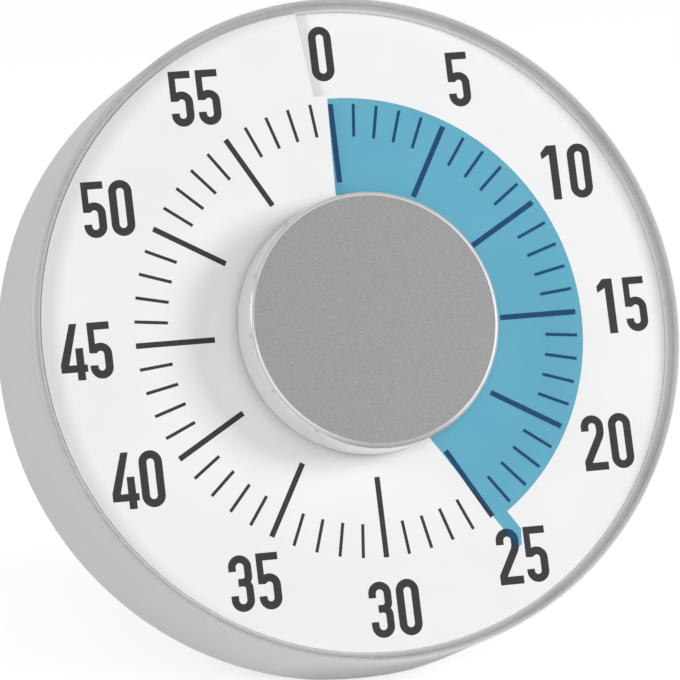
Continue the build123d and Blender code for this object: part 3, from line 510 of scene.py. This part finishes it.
def soft_rubber():
    """Matt black rubber with a pebbled skin."""
    shader = Shader("soft_rubber")
    pebbles = shader.noise(grain_mm=0.6, detail=3)
    return shader.finish(shader.surface(
        Base_Color=shader.ramp(pebbles, grey(0.022), grey(0.04)),
        Specular_IOR_Level=0.25,
        Roughness=shader.span(pebbles, 0.65, 0.85),
        Normal=shader.bump(pebbles, height_mm=0.04),
    ))


finishes = {                # by the record's material slots
    "silver_case": silver_paint("silver_paint", 0.782, case_rim_shade_and_dirt_tones),
    "dial_white": white_sheet(),
    "time_blue": blue_film(),
    "hub_white": moulded_plastic("natural_plastic", (0.8, 0.79, 0.76), height_mm=0.006),
    "knob_silver": knob_skirt(),
    "knob_face": knob_face(),
    "steel": metal("turned_steel", (0.56, 0.57, 0.58)),
    "plate_steel": metal("plated_sheet", (0.62, 0.62, 0.6), grain_mm=0.5),
    "screw_steel": metal("zinc_screws", (0.6, 0.6, 0.58), (0.3, 0.45)),
    "brass": metal("brass", (0.78, 0.57, 0.25), (0.22, 0.36)),
    "spring_steel": metal("blued_steel", (0.16, 0.19, 0.3), (0.28, 0.4)),
    "bell_steel": metal("nickel", (0.7, 0.69, 0.66), (0.1, 0.2)),
    "cover_grey": moulded_plastic("cover_plastic", grey(0.4)),
    "magnet": metal("magnet_plating", (0.6, 0.6, 0.59), (0.2, 0.32)),
    "rubber": soft_rubber(),
}
for part in frame["record"]["subparts"]:
    node = frame["nodes"][part["node"]]
    node.data.materials.clear()
    node.data.materials.append(finishes[part["material_slot"]])
bezel = frame["nodes"]["bezel_ring"]
bezel.data.materials[0] = silver_paint("bezel_paint", 0.96, bezel_painted_light_tones)
film = frame["nodes"]["film_disc"]      # its two faces tint what is seen through them, so that it
film.visible_shadow = False             # needs no shadow as well
film.visible_diffuse = False

# ---- digits -------------------------------------------------------------------------------------
# Each digit is a list of outlines that may overlap, with its width and the gap that follows it. Its
# left side is at x = 0 and its foot at y = 0.


def arc(centre, radius, start, stop):
    """Points of an arc, with angles in degrees counter-clockwise from +x."""
    steps = max(2, ceil(abs(stop - start) / 90 * arc_steps))
    turns = [radians(start + (stop - start) * i / steps) for i in range(steps + 1)]
    return [(centre[0] + radius * cos(turn), centre[1] + radius * sin(turn)) for turn in turns]


def stroke(centreline, width=digit_stroke):
    """Outline of a line of even width with square ends."""
    sharpest = 0.3              # at a sharper bend than this the line gets no wider
    left, right = [], []
    for i, (x, y) in enumerate(centreline):
        before, after = centreline[max(i - 1, 0)], centreline[min(i + 1, len(centreline) - 1)]
        first = Vector((x - before[0], y - before[1]))
        second = Vector((after[0] - x, after[1] - y))
        first = first.normalized() if first.length else second.normalized()
        second = second.normalized() if second.length else first
        bisector = (first + second).normalized()
        reach = width / 2 / max(bisector.dot(first), sharpest)
        left.append((x - bisector.y * reach, y + bisector.x * reach))
        right.append((x + bisector.y * reach, y - bisector.x * reach))
    return left + right[::-1]


def box_outline(left, bottom, right, top):
    return [(left, bottom), (right, bottom), (right, top), (left, top)]


top, half = digit_height, digit_stroke / 2
bowl = 2.22                     # radius of the centrelines of the round ends
middle = half + bowl
right_line = middle + bowl
round_width = right_line + half
top_arc = arc((middle, top - middle), bowl, 180, 0)
foot_arc = arc((middle, middle), bowl, 0, -180)
end_high, end_low = top - 4.5, 4.6          # where the free ends of the curves are cut
lap = 0.1                       # strokes that meet end to end overlap by this much


def digit_zero():
    gap = 1.3
    outlines = [
        stroke([(half, middle)] + top_arc + [(right_line, middle)]),
        stroke([(right_line, middle + lap)] + foot_arc + [(half, middle + lap)]),
    ]
    return outlines, round_width, gap


def digit_one():
    width, gap = 4.85, 3.0
    stem_left = width - 2.4
    flag_tip, flag_foot = (0, top - 2.1), (0.15, top - 3.9)
    flag_start, flag_root = (1.95, top), (stem_left, top - 2.6)
    outlines = [
        [(stem_left, 0), (width, 0), (width, top), flag_start, flag_tip, flag_foot, flag_root],
    ]
    return outlines, width, gap


def digit_two():
    width, gap = 6.95, 1.25
    lean = 30.0                 # of the diagonal
    lean_cos, lean_sin = cos(radians(lean)), sin(radians(lean))
    swing = 4.2                 # radius with which the curve turns into the diagonal
    knee = top - 4.4            # height at which it starts to
    heel = 2.75                 # height at which the diagonal's outer edge reaches the side
    knee_out = right_line - swing + (swing + half) * lean_cos
    knee_low = knee - (swing + half) * lean_sin
    knee_in = knee_out - digit_stroke * lean_cos
    knee_high = knee_low + digit_stroke * lean_sin
    heel_in = knee_out - (knee_low - digit_stroke) * (lean_sin / lean_cos)
    outlines = [
        stroke([(half, end_high)] + top_arc + arc((right_line - swing, knee), swing, 0, -lean)),
        [(0, heel), (0, digit_stroke), (heel_in, digit_stroke), (knee_out, knee_low),
         (knee_out + lap * lean_sin, knee_low + lap * lean_cos),
         (knee_in + lap * lean_sin, knee_high + lap * lean_cos), (knee_in, knee_high)],
        box_outline(0, 0, width, digit_stroke),
    ]
    return outlines, width, gap


def digit_three():
    gap = 1.35
    waist, bar_left = 8.15, 2.5             # middle and end of the bar
    bend = 1.75                             # radius of the inner curves
    thinner = digit_stroke - lap            # the 3 is drawn a little finer
    outlines = [
        stroke([(half, end_high)] + top_arc + arc((right_line - bend, waist + bend), bend, 0, -90)
               + [(bar_left, waist)], thinner),
        stroke([(bar_left, waist)] + arc((right_line - bend, waist - bend), bend, 90, 0)
               + foot_arc + [(half, end_low)], thinner),
    ]
    return outlines, round_width, gap


def digit_four():
    width, gap = 7.55, 0.75
    bar_low, bar_high = 2.25, 4.3
    stem_left, stem_right, stem_top = 4.5, 6.7, 8.95
    peak_left, peak_right = 3.5, 5.6        # top edge of the diagonal
    foot_right, inner_right = 2.3, 2.35     # its lower and inner corner on the bar
    shoulder = bar_high + 0.3
    outlines = [
        [(0, bar_low), (foot_right, bar_low), (inner_right, bar_high), (peak_right, top),
         (peak_left, top), (0, shoulder)],
        box_outline(0, bar_low, width, bar_high),
        box_outline(stem_left, 0, stem_right, stem_top),
    ]
    return outlines, width, gap


def digit_five():
    width, gap = 6.5, 1.3
    flag_low, flag_right = top - 2.1, 6.35
    stem_left, stem_right = 0.1, 1.95
    shoulder, armpit = 7.25, 8.25           # heights at which the stem's two sides end
    belly = 2.12                            # radius of the curves
    belly_middle = half + belly
    belly_top = 8.9 - belly
    belly_start, run_in = 130, 0.6          # where the upper curve leaves the stem, and its run in
    start_cos, start_sin = cos(radians(belly_start)), sin(radians(belly_start))
    root = (belly_middle + belly * start_cos - run_in * start_sin,
            belly_top + belly * start_sin + run_in * start_cos)
    root_in = (root[0] - half * start_cos, root[1] - half * start_sin)
    tail_end = end_low - 0.75
    outlines = [
        box_outline(stem_left, flag_low, flag_right, top),
        [(stem_left, shoulder), root_in, (stem_right, armpit), (stem_right, top), (stem_left, top)],
        stroke([root] + arc((belly_middle, belly_top), belly, belly_start, 0)
               + arc((belly_middle, belly_middle), belly, 0, -180) + [(half, tail_end)]),
    ]
    return outlines, width, gap


digits = {
    "0": digit_zero(), "1": digit_one(), "2": digit_two(), "3": digit_three(),
    "4": digit_four(), "5": digit_five(),
}

# ---- print on the dial and the knob's edge ------------------------------------------------------


def sheet_top(u, v):
    """Height of the dial sheet's upper face at (u, v); at 0 that of the layer that shows."""
    angle = (degrees(atan2(u, v)) + lip_angle) % 360 - lip_angle
    return dial_lead * (angle / 360 - 0.5) + dial_thickness / 2


def counter_clockwise(outline):
    """The outline with its points in counter-clockwise order."""
    turns = zip(outline, outline[1:] + outline[:1])
    area = sum(start[0] * stop[1] - stop[0] * start[1] for start, stop in turns)
    return outline if area > 0 else outline[::-1]


def united(outlines):
    """Triangles that cover the outlines together, with no overlap: points and faces."""
    whole_hull, merge_distance = 0, 1e-4
    corners, loops = [], []
    for outline in map(counter_clockwise, outlines):
        loops.append(list(range(len(corners), len(corners) + len(outline))))
        corners += [Vector(point) for point in outline]
    points, _, faces, _, _, sources = delaunay_2d_cdt(
        corners, [], loops, whole_hull, merge_distance)
    kept = [face for face, source in zip(faces, sources) if source]
    return [tuple(point) for point in points], kept


def ink(points, faces):
    """Turns flat triangles into a thin closed layer of ink on the sheet: points and faces."""
    edges = dict.fromkeys(edge for face in faces for edge in zip(face, face[1:] + face[:1]))
    outer = [edge for edge in edges if edge[::-1] not in edges]
    count = len(points)
    layer = [(u, v, sheet_top(u, v) + ink_height) for u, v in points]
    layer += [(u, v, sheet_top(u, v) - ink_root) for u, v in points]
    walls = [(start, start + count, stop + count, stop) for start, stop in outer]
    under = [tuple(i + count for i in reversed(face)) for face in faces]
    return layer, [tuple(face) for face in faces] + under + walls


def number_layout(text):
    """Outlines of a number, centred on (0, 0)."""
    outlines, x = [], 0.0
    for digit in text:
        parts, width, gap = digits[digit]
        outlines += [[(px + x, py - digit_height / 2) for px, py in part] for part in parts]
        x += width + gap
    total = x - gap
    return [[(px - total / 2, py) for px, py in outline] for outline in outlines]


def print_numbers(material):
    for value in range(0, minutes, number_step):
        angle = radians(360 * value / minutes + number_turn)
        right, up = number_shifts[value]
        at_u, at_v = number_radius * sin(angle) + right, number_radius * cos(angle) + up
        outlines = [
            [(at_u + x, at_v + y) for x, y in outline] for outline in number_layout(str(value))
        ]
        layer, faces = ink(*united(outlines))
        add_piece(f"dial_number_{value:02d}", layer, faces, material, "case")


def print_ticks(material):
    layer, faces = [], []
    for minute in range(minutes):
        if minute % number_step == 0:
            inner, width = major_tick_inner, major_tick_width
        else:
            inner, width = minor_tick_inner, minor_tick_width
        angle = radians(360 * minute / minutes)
        along = Vector((sin(angle), cos(angle)))
        across = Vector((cos(angle), -sin(angle))) * width / 2
        corners = [along * inner - across, along * inner + across,
                   along * tick_outer + across, along * tick_outer - across]
        more, more_faces = ink([tuple(corner) for corner in corners], [[0, 1, 2], [0, 2, 3]])
        faces += [tuple(i + len(layer) for i in face) for face in more_faces]
        layer += more
    add_piece("dial_minute_marks", layer, faces, material, "case")


def finish_knob_edge(material):
    """The finish of the knob's face where it runs over the seam onto the flat of the edge."""
    inner, outer = edge_film_radii
    high, low = knob_top + edge_film_rise, knob_top - edge_film_root
    profile = [(inner, high), (outer, high), (outer, low), (inner, low)]
    count = len(profile)
    points, faces = [], []
    for i in range(edge_film_steps):
        turn = radians(360 * i / edge_film_steps)
        points += [(radius * cos(turn), radius * sin(turn), height) for radius, height in profile]
        here, there = i * count, (i + 1) % edge_film_steps * count
        for k in range(count):
            j = (k + 1) % count
            faces.append((here + k, here + j, there + j, there + k))
    add_piece("knob_edge_finish", points, faces, material, knob_turn["child"])


print_material = dial_ink()
print_numbers(print_material)
print_ticks(print_material)
finish_knob_edge(finishes["knob_face"])

# ---- studio -------------------------------------------------------------------------------------


def see_white(tree, strength_socket, lit, seen=1.0):
    """Sets a strength to one value for light and another for what camera, gloss and glass see."""
    path = tree.nodes.new("ShaderNodeLightPath")
    seen_by = path.outputs["Is Camera Ray"]
    for ray in ("Is Glossy Ray", "Is Transmission Ray"):
        both = tree.nodes.new("ShaderNodeMath")
        both.operation = "MAXIMUM"
        tree.links.new(seen_by, both.inputs[0])
        tree.links.new(path.outputs[ray], both.inputs[1])
        seen_by = both.outputs[0]
    level = tree.nodes.new("ShaderNodeMapRange")
    level.inputs["To Min"].default_value = lit
    level.inputs["To Max"].default_value = seen
    tree.links.new(seen_by, level.inputs["Value"])
    tree.links.new(level.outputs[0], strength_socket)


def studio_floor():
    """Pale floor that shows white where no shadow falls."""
    shader = Shader("floor")
    paint = shader.node("ShaderNodeBsdfDiffuse")
    speckle = shader.noise(grain_mm=3, detail=2)
    shader.feed(paint.inputs["Color"], shader.ramp(speckle, grey(0.80), grey(0.82)))
    glow = shader.node("ShaderNodeEmission")
    see_white(shader.tree, glow.inputs["Strength"], 0.0, floor_lift)
    both = shader.node("ShaderNodeAddShader")
    shader.feed(both.inputs[0], paint.outputs[0])
    shader.feed(both.inputs[1], glow.outputs[0])
    bpy.ops.mesh.primitive_circle_add(
        vertices=floor_sides, radius=floor_radius, fill_type="NGON")
    floor = bpy.context.object
    floor.name = "floor"
    floor.data.materials.append(shader.finish(both.outputs[0]))


def studio_world():
    world = bpy.data.worlds.new("studio")
    world.use_nodes = True
    background = world.node_tree.nodes["Background"]
    background.inputs["Color"].default_value = (1, 1, 1, 1)
    see_white(world.node_tree, background.inputs["Strength"], world_strength)
    bpy.context.scene.world = world


def dial_lamp(name, clock_angle, height, share, size):
    """Square lamp, seen from the dial at a clock angle and a height above the dial; it brings this
    share of the light that makes a white dial look white."""
    out, up = cos(radians(height)), sin(radians(height))
    clock = radians(clock_angle)
    direction = (side * sin(clock) + dial_up * cos(clock)) * out + dial_normal * up
    lamp = bpy.data.lights.new(name, "AREA")
    lamp.shape = "SQUARE"
    lamp.size = size
    lamp.energy = share * (pi * lamp_distance) ** 2 / up
    holder = bpy.data.objects.new(name, lamp)
    bpy.context.scene.collection.objects.link(holder)
    holder.location = dial_origin + direction * lamp_distance
    holder.rotation_euler = (-direction).to_track_quat("-Z", "Y").to_euler()


def photo_camera():
    """The photograph's view."""
    place = spot(*camera_place)
    forward = (spot(*camera_target) - place).normalized()
    level = forward.cross(Vector((0, 0, 1))).normalized()
    upright = level.cross(forward)
    tilt = radians(camera_roll)
    right = level * cos(tilt) + upright * sin(tilt)
    up = upright * cos(tilt) - level * sin(tilt)
    data = bpy.data.cameras.new("camera")
    data.sensor_width = camera_sensor
    data.lens = camera_lens
    data.clip_start, data.clip_end = camera_clip
    camera = bpy.data.objects.new("camera", data)
    bpy.context.scene.collection.objects.link(camera)
    turned = Matrix((right, up, -forward)).transposed().to_4x4()
    camera.matrix_world = Matrix.Translation(place) @ turned
    bpy.context.scene.camera = camera


photo_camera()
studio_floor()
studio_world()
for lamp_values in lamps:
    dial_lamp(*lamp_values)
bpy.context.scene.view_settings.view_transform = "Standard"
